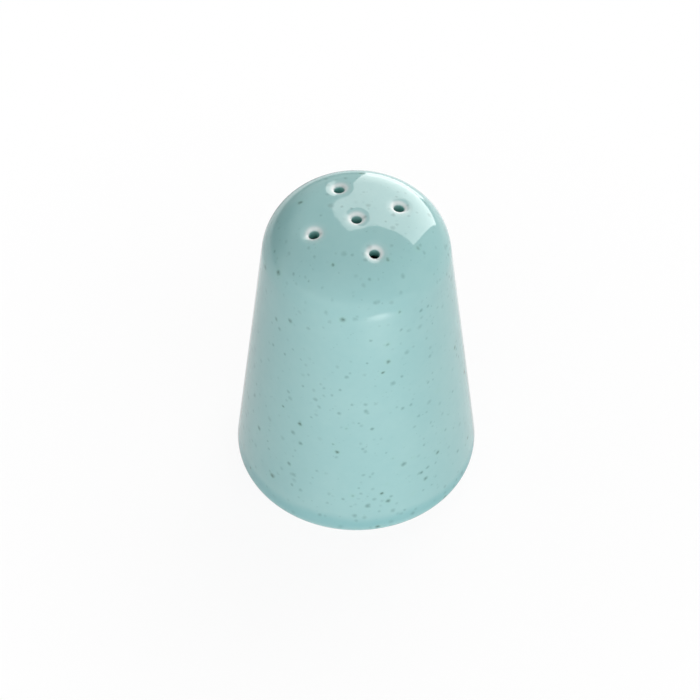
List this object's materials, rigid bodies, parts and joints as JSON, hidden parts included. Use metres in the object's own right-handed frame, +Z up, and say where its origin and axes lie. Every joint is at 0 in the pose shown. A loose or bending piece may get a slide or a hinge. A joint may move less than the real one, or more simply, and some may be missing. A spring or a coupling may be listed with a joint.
{
  "type": "salt shaker",
  "caption": "Glazed ceramic salt shaker: a hollow cone with a domed, pierced crown on a flat foot ring, filled through its base and closed there by a soft pull-out stopper.",
  "frame": {"origin": "centre of the foot ring, on the plane that the shaker stands on", "axes": "+Z up along the shaker's axis; -Y is the side towards the viewer in the picture, +X is to the viewer's right"},
  "size_m": [0.0564, 0.0564, 0.0799],
  "materials": {
    "speckled_glaze": "glossy turquoise glaze with fine brown speckles, thin and white at the rims of the holes",
    "milky_silicone": "satin, milky and slightly translucent"
  },
  "bodies": {
    "body": {"shaker_body": "speckled_glaze"},
    "stopper": {"filler_stopper": "milky_silicone"}
  },
  "joints": [
    {"name": "stopper_pull", "type": "slide", "parent": "body", "child": "stopper", "axis": [0, 0, -1], "range_m": [0, 0.02]}
  ]
}
